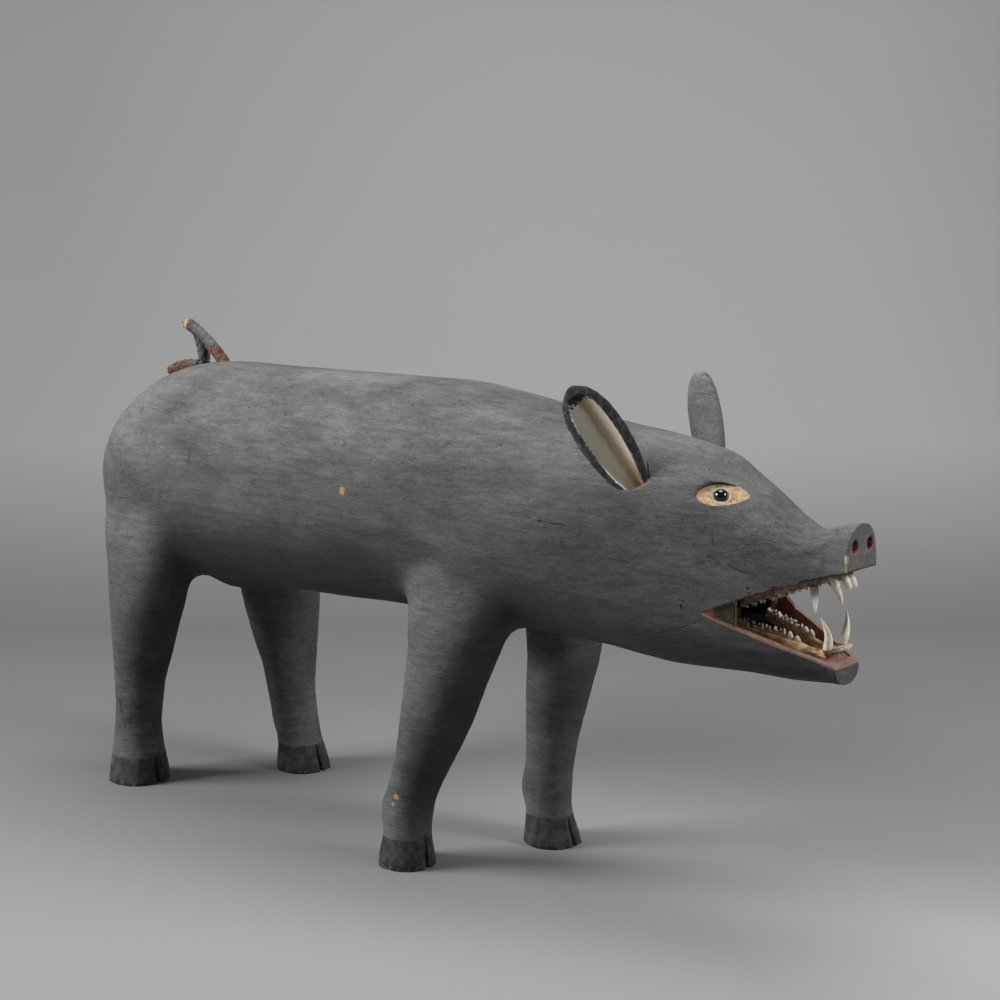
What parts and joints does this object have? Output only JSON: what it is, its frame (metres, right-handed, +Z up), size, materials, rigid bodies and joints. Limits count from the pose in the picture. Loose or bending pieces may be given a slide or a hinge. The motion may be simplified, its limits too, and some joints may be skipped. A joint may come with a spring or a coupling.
{
  "type": "carved wooden pig",
  "caption": "Standing carved wooden pig in grey paint, mouth open on real jawbones with tusks, black glass eyes, hollow cream-lined ears and a bent rope tail.",
  "frame": {"origin": "on the floor under the middle of the pig, halfway between rump and snout", "axes": "+X towards the snout, +Y towards the pig's left side, +Z up"},
  "size_m": [1.1896, 0.2854, 0.6495],
  "materials": {
    "grey_paint": "matt grey paint thick with sawdust",
    "cream_paint": "matt cream paint, grey at the back and rim",
    "black_glass": "polished",
    "old_bone": "aged bone, satin",
    "tooth_enamel": "smooth enamel",
    "coated_rope": "rope stiffened with grey paint"
  },
  "bodies": {
    "root": {"body": "grey_paint", "right_eye": "black_glass", "left_eye": "black_glass", "right_ear": "cream_paint", "left_ear": "cream_paint", "lower_jawbone": "old_bone", "upper_jawbone": "old_bone", "right_tusk": "tooth_enamel", "left_tusk": "tooth_enamel", "right_upper_canine": "tooth_enamel", "left_upper_canine": "tooth_enamel", "tail": "coated_rope"}
  },
  "joints": []
}
